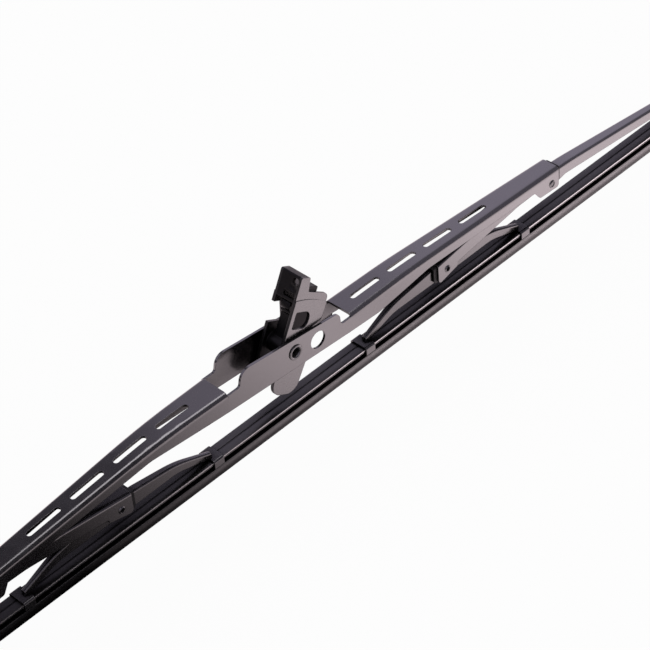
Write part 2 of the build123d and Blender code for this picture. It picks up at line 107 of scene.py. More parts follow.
class Slot(Enum):
    """The material slots of the part."""

    PAINT = "frame_paint"
    ADAPTER = "adapter_plastic"
    RUBBER = "rubber"
    SPINE = "spine_steel"
    RIVET = "rivet_metal"
    LINER = "liner_plastic"


class Domain(Enum):
    """What edit mode selects."""

    VERT = "verts"
    EDGE = "edges"
    FACE = "faces"


# ---------------------------------------------------------------- mesh work


class Bench:
    """Operator work on one mesh at a time, with everything else deselected."""

    @staticmethod
    def clear() -> None:
        """Leaves edit mode and deselects every object."""
        if bpy.context.object is not None and bpy.context.object.mode != "OBJECT":
            bpy.ops.object.mode_set(mode="OBJECT")
        bpy.ops.object.select_all(action="DESELECT")

    @staticmethod
    def hold(piece: Piece) -> None:
        """Selects one object alone and makes it active."""
        Bench.clear()
        piece.select_set(True)
        bpy.context.view_layer.objects.active = piece

    @staticmethod
    @contextmanager
    def edit(piece: Piece, domain: Domain = Domain.VERT) -> Iterator[None]:
        """Opens a piece in edit mode and closes it again.

        Args:
            piece: The mesh to work on.
            domain: Whether vertices, edges or faces are selected.

        Returns:
            The context in which edit operators act on that piece alone.
        """
        Bench.hold(piece)
        bpy.ops.object.mode_set(mode="EDIT")
        bpy.ops.mesh.select_mode(type=domain.name)
        yield
        bpy.ops.object.mode_set(mode="OBJECT")

    @staticmethod
    def pick(piece: Piece, domain: Domain, test: Callable[[Any], bool]) -> int:
        """Selects, in edit mode, the elements that pass a test.

        Args:
            piece: The mesh in edit mode.
            domain: The kind of element.
            test: Tells from an element whether it is wanted.

        Returns:
            How many elements were selected.
        """
        bpy.ops.mesh.select_mode(type=domain.name)
        bpy.ops.mesh.select_all(action="DESELECT")
        mesh = bmesh.from_edit_mesh(piece.data)
        wanted = [e for e in getattr(mesh, domain.value) if test(e)]
        for element in wanted:
            element.select_set(True)
        mesh.select_flush_mode()
        bmesh.update_edit_mesh(piece.data)
        return len(wanted)

    @staticmethod
    def smooth(piece: Piece, angle: float = 32.0) -> None:
        """Shades a piece smooth where its faces meet at less than an angle in degrees."""
        Bench.hold(piece)
        bpy.ops.object.shade_smooth_by_angle(angle=math.radians(angle))

    @staticmethod
    def outline(name: str, points: Sequence[Point], filled: bool) -> Piece:
        """Starts a piece from a circle whose points are set out one by one.

        Args:
            name: The piece's name.
            points: The corners, in metres.
            filled: Whether the outline gets a face.

        Returns:
            The flat piece.
        """
        Bench.clear()
        bpy.ops.mesh.primitive_circle_add(
            vertices=len(points), radius=MM, fill_type="NGON" if filled else "NOTHING"
        )
        piece = bpy.context.object
        piece.name = piece.data.name = name
        for vertex, point in zip(piece.data.vertices, points):
            vertex.co = point
        return piece

    @staticmethod
    def drawn(
        name: str, section: "Section", start: float, end: float, step: float
    ) -> Piece:
        """Draws a section out along the blade in short lengths, so that it can bend.

        Args:
            name: The piece's name.
            section: The corners across the blade and their rounds, in mm.
            start: Where it begins along the blade, in mm.
            end: Where it ends, in mm.
            step: The length of one station, in mm.

        Returns:
            The closed piece.
        """
        points = [(start * MM, y * MM, z * MM) for y, z, _ in section.corners]
        piece = Bench.outline(name, points, filled=True)
        with Bench.edit(piece):
            for size in sorted({r for _, _, r in section.corners if r > 0}):
                spots = [(y * MM, z * MM) for y, z, r in section.corners if r == size]
                Bench.pick(
                    piece,
                    Domain.VERT,
                    lambda v: any(
                        abs(v.co.y - y) + abs(v.co.z - z) < 1e-6 for y, z in spots
                    ),
                )
                bpy.ops.mesh.bevel(
                    offset=size * MM, segments=3, affect="VERTICES", clamp_overlap=True
                )
            bpy.ops.mesh.select_mode(type="FACE")
            bpy.ops.mesh.select_all(action="SELECT")
            count = max(1, round(abs(end - start) / step))
            for _ in range(count):
                bpy.ops.mesh.extrude_region_move(
                    TRANSFORM_OT_translate={"value": ((end - start) * MM / count, 0, 0)}
                )
            bpy.ops.mesh.select_all(action="SELECT")
            bpy.ops.mesh.normals_make_consistent(inside=False)
        Bench.smooth(piece)
        return piece

    @staticmethod
    def turned(
        name: str, profile: Sequence[Pair], centre: Point, closed: bool, steps: int = 40
    ) -> Piece:
        """Turns a profile round a line across the blade.

        Args:
            name: The piece's name.
            profile: Radius and place across the blade of each corner, in mm.
            centre: A point on the line, in mm.
            closed: Whether the profile is a ring clear of the line.
            steps: The facets round the line.

        Returns:
            The closed piece.
        """
        middle = Vector(centre) * MM
        points = [tuple(middle + Vector((r * MM, y * MM, 0))) for r, y in profile]
        piece = Bench.outline(name, points, filled=False)
        last = len(profile) - 1
        with Bench.edit(piece, Domain.EDGE):
            if not closed:
                Bench.pick(
                    piece, Domain.EDGE, lambda e: {v.index for v in e.verts} == {0, last}
                )
                bpy.ops.mesh.delete(type="EDGE")
            bpy.ops.mesh.select_all(action="SELECT")
            bpy.ops.mesh.spin(
                steps=steps, angle=math.tau, center=middle, axis=(0, 1, 0)
            )
            bpy.ops.mesh.select_all(action="SELECT")
            bpy.ops.mesh.remove_doubles(threshold=1e-6)
            bpy.ops.mesh.normals_make_consistent(inside=False)
        Bench.smooth(piece)
        return piece

    @staticmethod
    def slab(name: str, side: Sequence[Pair], span: Pair, ease: float) -> Piece:
        """Draws a small plate or block across the blade from its outline.

        Args:
            name: The piece's name.
            side: Its outline along and above the blade, in mm.
            span: Where it starts and ends across the blade, in mm.
            ease: The round of its edges, in mm.

        Returns:
            The closed piece.
        """
        points = [(x * MM, span[0] * MM, z * MM) for x, z in side]
        piece = Bench.outline(name, points, filled=True)
        with Bench.edit(piece, Domain.FACE):
            bpy.ops.mesh.select_all(action="SELECT")
            bpy.ops.mesh.extrude_region_move(
                TRANSFORM_OT_translate={"value": (0, (span[1] - span[0]) * MM, 0)}
            )
            bpy.ops.mesh.select_all(action="SELECT")
            bpy.ops.mesh.normals_make_consistent(inside=False)
            bpy.ops.mesh.bevel(
                offset=ease * MM, segments=3, affect="EDGES", clamp_overlap=True
            )
        Bench.smooth(piece, 40)
        return piece

    @staticmethod
    def copied(piece: Piece, name: str, shift: Point = (0, 0, 0)) -> Piece:
        """Copies a piece with its own mesh and moves the copy.

        Args:
            piece: The model piece.
            name: The copy's name.
            shift: How far the copy is moved, in mm.

        Returns:
            The copy.
        """
        twin = bpy.data.objects.new(name, piece.data.copy())
        twin.data.name = name
        bpy.context.scene.collection.objects.link(twin)
        with Bench.edit(twin):
            bpy.ops.mesh.select_all(action="SELECT")
            bpy.ops.transform.translate(value=Vector(shift) * MM)
        return twin


@dataclass(frozen=True)
class Section:
    """The corners of a drawn profile across the blade: y, z and the corner's round, in mm."""

    corners: tuple[tuple[float, float, float], ...]


# ---------------------------------------------------------------- finishes


class Sheet:
    """One material's nodes, laid out with short calls."""

    SHARP_EDGE = (0.995, 0.82)
    OPEN_VIEW = (0.78, 0.42)
    HOODED_VIEW = (0.92, 0.6)
    LOOKS_UP = (0.5, 0.8)
    MASK_SAMPLES = 6
    ROUND_SAMPLES = 8

    def __init__(self, name: str) -> None:
        """Starts a material with its principled shader."""
        self.material = bpy.data.materials.new(name)
        self.material.use_nodes = True
        self.nodes = self.material.node_tree.nodes
        self.links = self.material.node_tree.links
        self.shader = self.nodes["Principled BSDF"]

    @classmethod
    def over(cls, tree: bpy.types.NodeTree) -> "Sheet":
        """The same short calls over a node tree that exists."""
        sheet = cls.__new__(cls)
        sheet.nodes, sheet.links = tree.nodes, tree.links
        return sheet

    def add(
        self, kind: str, sockets: dict[str | int, Any] | None = None, **settings: Any
    ) -> bpy.types.Node:
        """Adds a node.

        Args:
            kind: The node's type without its prefix.
            sockets: Input values, or sockets to link to those inputs.
            settings: The node's own settings.

        Returns:
            The node.
        """
        node = self.nodes.new("ShaderNode" + kind)
        for key, value in settings.items():
            setattr(node, key, value)
        for key, value in (sockets or {}).items():
            if isinstance(value, bpy.types.NodeSocket):
                self.links.new(value, node.inputs[key])
            else:
                node.inputs[key].default_value = value
        return node

    def place(self, stretch: Point = (1, 1, 1)) -> Socket:
        """Object coordinates, stretched along each axis."""
        spot = self.add("TexCoord").outputs["Object"]
        if stretch == (1, 1, 1):
            return spot
        return self.add("Mapping", {"Vector": spot, "Scale": stretch}).outputs[0]

    def noise(self, place: Socket, scale: float, detail: float = 3.0) -> Socket:
        """A cloud pattern from 0 to 1 at a scale per metre."""
        sockets = {"Vector": place, "Scale": scale, "Detail": detail, "Roughness": 0.55}
        return self.add("TexNoise", sockets).outputs[0]

    def spread(self, value: Socket, source: Pair, target: Pair) -> Socket:
        """Maps a value from one range to another and clamps it."""
        sockets = {
            "Value": value,
            "From Min": source[0],
            "From Max": source[1],
            "To Min": target[0],
            "To Max": target[1],
        }
        return self.add("MapRange", sockets, clamp=True).outputs[0]

    def ramp(self, value: Socket, stops: Sequence[Pair]) -> Socket:
        """Maps a value through stops of place and level, straight between them."""
        first, last = stops[0][0], stops[-1][0]
        node = self.add("ValToRGB", {0: self.spread(value, (first, last), (0, 1))})
        while len(node.color_ramp.elements) < len(stops):
            node.color_ramp.elements.new(1.0)
        for element, (spot, level) in zip(node.color_ramp.elements, stops):
            element.position = (spot - first) / (last - first)
            element.color = (level, level, level, 1)
        return node.outputs[0]

    def maths(self, work: str, one: Socket | float, two: Socket | float) -> Socket:
        """Joins two values by a named operation."""
        return self.add("Math", {0: one, 1: two}, operation=work).outputs[0]

    def tint(
        self, share: Socket, one: Socket | Colour, two: Socket | Colour
    ) -> Socket:
        """Mixes two colours by a share."""
        sides = [c if isinstance(c, bpy.types.NodeSocket) else (*c, 1) for c in (one, two)]
        node = self.add("Mix", data_type="RGBA")
        self.links.new(share, node.inputs[0])
        for key, side in zip((6, 7), sides):
            if isinstance(side, bpy.types.NodeSocket):
                self.links.new(side, node.inputs[key])
            else:
                node.inputs[key].default_value = side
        return node.outputs[2]

    def edges(self, radius: float) -> Socket:
        """A mask that grows towards sharp edges, within a radius in mm."""
        soft = self.add("Bevel", {"Radius": radius * MM}, samples=self.MASK_SAMPLES)
        flat = self.add("NewGeometry").outputs["Normal"]
        sockets = {0: soft.outputs[0], 1: flat}
        along = self.add("VectorMath", sockets, operation="DOT_PRODUCT")
        return self.spread(along.outputs["Value"], self.SHARP_EDGE, UNIT)

    def sheltered(self, reach: float, most: float, view: Pair = OPEN_VIEW) -> Socket:
        """A mask that grows where faces within a reach in mm leave little open view."""
        sockets = {"Distance": reach * MM}
        open_sky = self.add("AmbientOcclusion", sockets, samples=self.MASK_SAMPLES)
        return self.spread(open_sky.outputs["AO"], view, (0, most))

    def hooded(self, normal: Socket, reach: float) -> Socket:
        """A mask of the faces that look up at something within a reach in mm."""
        upward = self.add("SeparateXYZ", {0: normal}).outputs[2]
        upward = self.spread(upward, self.LOOKS_UP, UNIT)
        return self.maths("MULTIPLY", self.sheltered(reach, 0.95, self.HOODED_VIEW), upward)

    def softened(self, radius: float) -> Socket:
        """The surface's normal, rounded over sharp edges within a radius in mm."""
        return self.add("Bevel", {"Radius": radius * MM}, samples=self.ROUND_SAMPLES).outputs[0]

    def relief(self, height: Socket, size: Pair, under: Socket | None = None) -> Socket:
        """Turns a pattern into bump of a depth in mm and a strength, over another if given."""
        depth, strength = size
        sockets = {"Height": height, "Distance": depth * MM, "Strength": strength}
        if under is not None:
            sockets["Normal"] = under
        return self.add("Bump", sockets).outputs[0]

    def wire(self, **sockets: Socket | float | Colour) -> Material:
        """Feeds the shader, by socket names with _ for spaces, and gives the material."""
        for key, value in sockets.items():
            socket = self.shader.inputs[key.replace("_", " ")]
            if isinstance(value, bpy.types.NodeSocket):
                self.links.new(value, socket)
            else:
                socket.default_value = value
        return self.material


@dataclass(frozen=True)
class FramePaint:
    """Black stove enamel on folded sheet, a little mauve where it catches the light."""

    dark: Colour = (0.0055, 0.0048, 0.0058)
    light: Colour = (0.011, 0.0096, 0.0112)
    worn: Colour = (0.05, 0.045, 0.048)
    name: str = "frame_enamel"
    roughness: Pair = (0.16, 0.25)
    cloud: float = 60.0
    peel: float = 950.0
    peel_relief: Pair = (0.008, 0.06)
    speck: float = 2600.0
    speck_relief: Pair = (0.006, 0.12)
    patch: float = 420.0
    haze: float = 180.0
    edge: float = 0.25
    fold_round: float = 0.3
    depth: float = 2.7
    coat: float = 1.0
    # Painted shade: how dark sheltered faces and faces that look down become.
    dullest: float = 0.85
    underside: float = 0.9
    # Painted shade on the walls' insides beside the pivot: its strength here, its place in the
    # last three fields.
    rub: float = 0.97
    # Reaches in mm of the painted shade in sheltered places and under overhangs.
    shelter: float = 20.0
    hood: float = 0.0
    rub_middle: float = 6.0
    rub_reach: Pair = (15.0, 19.0)
    rub_side: Pair = (6.45, 6.6)

    def rubbed(self, sheet: Sheet, place: Socket) -> Socket:
        """A mask of painted shade on the walls' insides beside the pivot.

        Args:
            sheet: The enamel's nodes.
            place: Object coordinates.

        Returns:
            The mask.
        """
        along, side, _ = sheet.add("SeparateXYZ", {0: place}).outputs
        along = sheet.maths("ABSOLUTE", sheet.maths("SUBTRACT", along, self.rub_middle * MM), 0.0)
        side = sheet.maths("ABSOLUTE", side, 0.0)
        near = sheet.spread(along, tuple(x * MM for x in self.rub_reach), (self.rub, 0))
        inside = sheet.spread(side, tuple(y * MM for y in self.rub_side), (1, 0))
        return sheet.maths("MULTIPLY", near, inside)

    def material(self) -> Material:
        """Lays out the enamel: cloudy, with peel, specks, worn edges, and painted shade on
        sheltered, downward, pivot-side and overhung faces.
        """
        sheet = Sheet(self.name)
        place = sheet.place()
        peel = sheet.noise(place, self.peel, 2)
        specks = sheet.spread(sheet.noise(place, self.speck, 1), (0.70, 0.80), UNIT)
        patchy = sheet.spread(sheet.noise(place, self.patch, 5), (0.42, 0.62), UNIT)
        wear = sheet.maths("MULTIPLY", sheet.edges(self.edge), patchy)
        cloud = sheet.spread(sheet.noise(place, self.cloud, 4), CLOUD, UNIT)
        body = sheet.tint(cloud, self.dark, self.light)
        dusty = sheet.tint(sheet.maths("MULTIPLY", specks, 0.2), body, self.worn)
        colour = sheet.tint(sheet.maths("MULTIPLY", wear, 0.6), dusty, self.worn)
        gloss = sheet.spread(sheet.noise(place, self.haze, 5), CLOUD, self.roughness)
        gloss = sheet.maths("ADD", gloss, sheet.maths("MULTIPLY", specks, 0.12))
        rounded = sheet.softened(self.fold_round)
        bump = sheet.relief(peel, self.peel_relief, rounded)
        upward = sheet.add("SeparateXYZ", {0: rounded}).outputs[2]
        # Painted shade: faces whose rounded normal looks down lose their reflection.
        under = sheet.spread(upward, (-0.12, -0.45), (0, self.underside))
        # Painted shade in sheltered places; through Metallic on the near-black base these faces
        # lose their reflection, and the coat fades with them.
        painted_shade = sheet.maths("MAXIMUM", sheet.sheltered(self.shelter, self.dullest), under)
        # Painted shade on the walls' insides beside the pivot.
        painted_shade = sheet.maths("MAXIMUM", painted_shade, self.rubbed(sheet, place))
        # Painted shade on faces that look up at an overhang within reach.
        if self.hood > 0:
            painted_shade = sheet.maths("MAXIMUM", painted_shade, sheet.hooded(rounded, self.hood))
        bright = sheet.maths("SUBTRACT", 1.0, painted_shade)
        return sheet.wire(
            Base_Color=colour,
            Roughness=gloss,
            Normal=sheet.relief(specks, self.speck_relief, bump),
            Metallic=painted_shade,
            IOR=self.depth,
            Coat_Weight=sheet.maths("MULTIPLY", bright, self.coat),
            Coat_Roughness=0.14,
            Coat_IOR=1.5,
        )


@dataclass(frozen=True)
class AdapterPlastic:
    """Glossy black moulded plastic with a fine spark-eroded grain."""

    dark: Colour = (0.0032, 0.0028, 0.0032)
    light: Colour = (0.0068, 0.006, 0.0066)
    worn: Colour = (0.035, 0.032, 0.034)
    roughness: Pair = (0.22, 0.34)
    flow: float = 130.0
    flow_relief: Pair = (0.03, 0.1)
    grain: float = 4200.0
    grain_relief: Pair = (0.008, 0.2)
    patch: float = 700.0
    haze: float = 260.0
    edge: float = 0.25
    corner_round: float = 0.6
    # Painted shade: faces inside this half-width, and faces that don't look sideways, lose their
    # reflection by these amounts.
    core: float = 4.53
    core_dull: float = 0.9
    edge_dull: float = 0.72

    def material(self) -> Material:
        """Lays out the plastic: flow marks, grain and scuffs, glossy on the cheeks' flats, with
        painted shade inside the core and on faces that don't look sideways.
        """
        sheet = Sheet("adapter_moulding")
        place = sheet.place()
        flow = sheet.noise(sheet.place((1, 1, 0.35)), self.flow, 4)
        grain = sheet.noise(place, self.grain, 2)
        patchy = sheet.spread(sheet.noise(place, self.patch, 4), (0.4, 0.65), UNIT)
        wear = sheet.maths("MULTIPLY", sheet.edges(self.edge), patchy)
        body = sheet.tint(sheet.spread(flow, CLOUD, UNIT), self.dark, self.light)
        colour = sheet.tint(sheet.maths("MULTIPLY", wear, 0.5), body, self.worn)
        gloss = sheet.spread(sheet.noise(place, self.haze, 5), CLOUD, self.roughness)
        bump = sheet.relief(grain, self.grain_relief, sheet.softened(self.corner_round))
        facing = sheet.add("NewGeometry").outputs["True Normal"]
        side, facing = (
            sheet.maths("ABSOLUTE", sheet.add("SeparateXYZ", {0: way}).outputs[1], 0.0)
            for way in (place, facing)
        )
        # Painted shade inside the core and on faces that don't look sideways, through Metallic on
        # the near-black base.
        skin = (self.core * MM, (self.core + 0.05) * MM)
        inner = sheet.spread(side, skin, (self.core_dull, 0.0))
        across = sheet.spread(facing, (0.4, 0.8), (self.edge_dull, 0.0))
        painted_shade = sheet.maths("MAXIMUM", inner, across)
        return sheet.wire(
            Base_Color=colour,
            Roughness=sheet.maths("ADD", gloss, sheet.maths("MULTIPLY", painted_shade, 0.15)),
            Normal=sheet.relief(flow, self.flow_relief, bump),
            Metallic=painted_shade,
            IOR=2.8,
            Coat_Weight=sheet.maths("SUBTRACT", 1.0, painted_shade),
            Coat_Roughness=0.2,
            Coat_IOR=1.5,
        )


@dataclass(frozen=True)
class WipingCompound:
    """Extruded black rubber with faint die lines along its length."""

    dark: Colour = (0.005, 0.0045, 0.0055)
    light: Colour = (0.011, 0.0098, 0.0115)
    ridge: Colour = (0.024, 0.022, 0.024)
    roughness: Pair = (0.26, 0.38)
    line: float = 2400.0
    line_relief: Pair = (0.01, 0.1)
    bloom: float = 160.0
    grain: float = 3000.0
    grain_relief: Pair = (0.005, 0.08)
    # Painted shade in sheltered places and under overhangs: reach in mm and strength, then reach
    # in mm.
    shelter: Pair = (16.0, 0.75)
    hood: float = 28.0
    coat: float = 0.5
    # Painted shade, darker towards the lip: its strength and the heights in mm where it starts
    # and where it is full.
    coating: float = 0.8
    coat_top: float = -34.6
    coat_full: float = -40.5
    mark: str = "flank_height"

    def material(self) -> Material:
        """Lays out the rubber: die lines, bloom, a dry grain, and painted shade in sheltered
        places, under overhangs and darker towards the lip.
        """
        sheet = Sheet("wiping_compound")
        place = sheet.place()
        lines = sheet.noise(sheet.place((0.02, 1, 1)), self.line, 3)
        bloom = sheet.noise(sheet.place((0.25, 1, 1)), self.bloom, 4)
        grain = sheet.noise(place, self.grain, 2)
        body = sheet.tint(sheet.spread(bloom, CLOUD, UNIT), self.dark, self.light)
        colour = sheet.tint(sheet.spread(lines, (0.55, 0.75), (0, 0.35)), body, self.ridge)
        gloss = sheet.spread(bloom, CLOUD, self.roughness)
        bump = sheet.relief(lines, self.line_relief)
        height = sheet.add("Attribute", attribute_name=self.mark).outputs["Fac"]
        # Painted shade, darker towards the lip, by each point's height.
        lip_shaded = sheet.spread(height, (self.coat_top, self.coat_full), (0, self.coating))
        facing = sheet.add("NewGeometry").outputs["True Normal"]
        # Painted shade in sheltered places and under overhangs; through Metallic on the
        # near-black base these faces lose their reflection.
        painted_shade = sheet.maths("MAXIMUM", sheet.sheltered(*self.shelter), lip_shaded)
        painted_shade = sheet.maths("MAXIMUM", painted_shade, sheet.hooded(facing, self.hood))
        bright = sheet.maths("SUBTRACT", 1.0, painted_shade)
        return sheet.wire(
            Base_Color=colour,
            Roughness=gloss,
            Normal=sheet.relief(grain, self.grain_relief, bump),
            Metallic=painted_shade,
            IOR=2.1,
            Coat_Weight=sheet.maths("MULTIPLY", bright, self.coat),
            Coat_Roughness=0.25,
            Coat_IOR=1.5,
        )


@dataclass(frozen=True)
class SpineSteel:
    """Rolled bright steel strip."""

    dark: Colour = (0.80, 0.79, 0.785)
    light: Colour = (0.94, 0.93, 0.925)
    roughness: Pair = (0.42, 0.56)
    line: float = 3200.0
    line_relief: Pair = (0.006, 0.1)
    spot: float = 240.0

    def material(self) -> Material:
        """Lays out the strip: rolling lines and a few rougher spots."""
        sheet = Sheet("rolled_strip")
        lines = sheet.noise(sheet.place((0.015, 1, 1)), self.line, 4)
        spots = sheet.noise(sheet.place(), self.spot, 5)
        colour = sheet.tint(sheet.spread(lines, (0.35, 0.65), UNIT), self.dark, self.light)
        gloss = sheet.spread(spots, (0.35, 0.7), self.roughness)
        return sheet.wire(
            Base_Color=colour,
            Roughness=gloss,
            Normal=sheet.relief(lines, self.line_relief),
            Metallic=1.0,
        )


@dataclass(frozen=True)
class RivetBlack:
    """Blackened steel, worn brighter on the crown of each head."""

    dark: Colour = (0.006, 0.0053, 0.006)
    light: Colour = (0.015, 0.0134, 0.0148)
    rubbed: Colour = (0.10, 0.094, 0.096)
    roughness: Pair = (0.2, 0.34)
    mottle: float = 900.0
    mottle_relief: Pair = (0.01, 0.2)
    edge: float = 0.15

    def material(self) -> Material:
        """Lays out the blackening: mottled oxide and worn edges."""
        sheet = Sheet("rivet_blackening")
        mottle = sheet.noise(sheet.place(), self.mottle, 5)
        crown = sheet.maths("MULTIPLY", sheet.edges(self.edge), 0.5)
        body = sheet.tint(sheet.spread(mottle, (0.35, 0.65), UNIT), self.dark, self.light)
        return sheet.wire(
            Base_Color=sheet.tint(crown, body, self.rubbed),
            Roughness=sheet.spread(mottle, CLOUD, self.roughness),
            Normal=sheet.relief(mottle, self.mottle_relief),
            IOR=2.5,
            Coat_Weight=0.7,
            Coat_Roughness=0.18,
            Coat_IOR=1.5,
        )


@dataclass(frozen=True)
class LinerPlastic:
    """Matt black bearing plastic."""

    dark: Colour = (0.005, 0.0047, 0.0052)
    light: Colour = (0.011, 0.01, 0.011)
    roughness: Pair = (0.42, 0.62)
    cloud: float = 220.0
    grain: float = 3600.0
    grain_relief: Pair = (0.012, 0.35)

    def material(self) -> Material:
        """Lays out the plastic: a dry grain with polished wear marks."""
        sheet = Sheet("bearing_liner")
        place = sheet.place()
        cloud = sheet.noise(place, self.cloud, 4)
        grain = sheet.noise(place, self.grain, 2)
        colour = sheet.tint(sheet.spread(cloud, CLOUD, UNIT), self.dark, self.light)
        gloss = sheet.spread(cloud, CLOUD, self.roughness)
        return sheet.wire(
            Base_Color=colour,
            Roughness=gloss,
            Normal=sheet.relief(grain, self.grain_relief),
            IOR=1.5,
        )


# ---------------------------------------------------------------- sub-assemblies


def dress(piece: Piece, finish: Material) -> None:
    """Gives a piece one material.

    Args:
        piece: The piece or CAD node.
        finish: The material.
    """
    piece.data.materials.clear()
    piece.data.materials.append(finish)
    LOG.info("%s: %d faces, %s", piece.name, len(piece.data.polygons), finish.name)


@dataclass
class Linkage:
    """The folded frame: bridge, levers and yokes, which keep their CAD shape, and a lug."""

    lug_span: Pair = (6.42, 7.48)
    lug_ease: float = 0.1
    lug_side: tuple[Pair, ...] = (
        (18.0, -8.4),
        (34.3, -9.6),
        (34.3, -10.4),
        (33.7, -12.2),
        (29.0, -11.7),
        (25.0, -11.3),
        (20.0, -10.2),
    )

    def build(self, bridge: Material, lever: Material, yoke: Material) -> None:
        """Paints the bridge, both levers and both yokes.

        Args:
            bridge: The enamel of the bridge.
            lever: The enamel of the levers, with painted shade under the bridge.
            yoke: The satin enamel of the yokes.
        """
        dress(frame["nodes"]["main_bridge"], bridge)
        lug = Bench.slab("bridge_far_lug", self.lug_side, self.lug_span, self.lug_ease)
        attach(lug, Link.BRIDGE.body())
        dress(lug, bridge)
        for hand in Hand:
            dress(frame["nodes"][f"secondary_bridge_{hand.word}"], lever)
            dress(frame["nodes"][f"yoke_{hand.word}"], yoke)


@dataclass
class Rivets:
    """The solid rivets of the levers and yokes and the hollow one on the arm pivot."""

    lever_spot: Pair = (158.3, -13.2)
    lever_size: tuple[float, float, float] = (1.4, 1.85, 5.73)
    yoke_spot: Pair = (92.0, -18.5)
    yoke_size: tuple[float, float, float] = (1.2, 1.65, 4.52)
    head: float = 0.62
    lever_dimple: Pair = (1.2, 0.6)
    yoke_hollow: Pair = (1.1, 2.8)
    pivot_radius: float = 2.75
    pivot_bore: float = 2.0
    pivot_head: float = 3.4
    pivot_half: float = 8.1
    pivot_lip: float = 0.6

    def solid(
        self, name: str, spot: Pair, size: tuple[float, float, float], centre: Pair
    ) -> Piece:
        """Turns a rivet with two low heads, each hollowed in its centre.

        Args:
            name: The piece's name.
            spot: Its place along and above the blade, in mm.
            size: Shank radius, head radius and half its length, in mm.
            centre: Radius and depth of the hollow, in mm.

        Returns:
            The rivet.
        """
        shank, rim, half = size
        mouth, depth = centre
        inner = half - self.head
        right = [
            (shank, inner),
            (rim, inner),
            (rim + 0.04, inner + 0.1),
            (rim * 0.96, inner + 0.26),
            (rim * 0.86, inner + 0.44),
            ((rim * 0.8 + mouth) / 2, half - 0.03),
            (mouth + 0.08, half),
            (mouth - 0.04, half - 0.08),
            (mouth * 0.86, half - depth * 0.7),
            (mouth * 0.6, half - depth * 0.95),
            (0.0, half - depth),
        ]
        left = [(r, -y) for r, y in reversed(right)]
        return Bench.turned(name, left + right, (spot[0], 0, spot[1]), closed=False)

    def hollow(self) -> Piece:
        """Turns the pivot rivet with its rolled-over rims.

        Returns:
            The hollow rivet.
        """
        seat = self.pivot_half - self.pivot_lip
        bore, out = self.pivot_bore, self.pivot_radius
        rim, half = self.pivot_head, self.pivot_half
        right = [
            (out, seat),
            (rim - 0.1, seat),
            (rim, seat + 0.12),
            (rim, seat + 0.3),
            (rim - 0.12, seat + 0.46),
            (rim - 0.36, half - 0.03),
            (rim - 0.62, half),
            (rim - 0.86, half - 0.05),
            (bore + 0.28, half - 0.28),
            (bore + 0.06, half - 0.8),
            (bore, half - 1.5),
        ]
        left = [(r, -y) for r, y in reversed(right)]
        return Bench.turned("pivot_hollow_rivet", left + right, (0, 0, 0), closed=True, steps=56)

    def build(self, finish: Material) -> None:
        """Makes the five rivets.

        Args:
            finish: The rivets' blackening.
        """
        pivot = self.hollow()
        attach(pivot, Link.BRIDGE.body())
        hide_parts("pivot_pin")
        dress(pivot, finish)
        for kind, spot, size, centre, link in (
            ("lever", self.lever_spot, self.lever_size, self.lever_dimple, Link.BRIDGE),
            ("yoke", self.yoke_spot, self.yoke_size, self.yoke_hollow, Link.LEVER),
        ):
            first = self.solid(f"{kind}_rivet_turned_right", spot, size, centre)
            twin = Bench.copied(first, f"{kind}_rivet_turned_left", (-2 * spot[0], 0, 0))
            for hand, rivet in ((Hand.RIGHT, first), (Hand.LEFT, twin)):
                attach(rivet, link.body(hand))
                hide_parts(f"{kind}_rivet_{hand.word}")
                dress(rivet, finish)


@dataclass(frozen=True)
class Span:
    """A length of the rubber between two places from the middle, and the bodies it follows."""

    label: str
    start: float
    end: float
    follows: tuple[Link, ...]


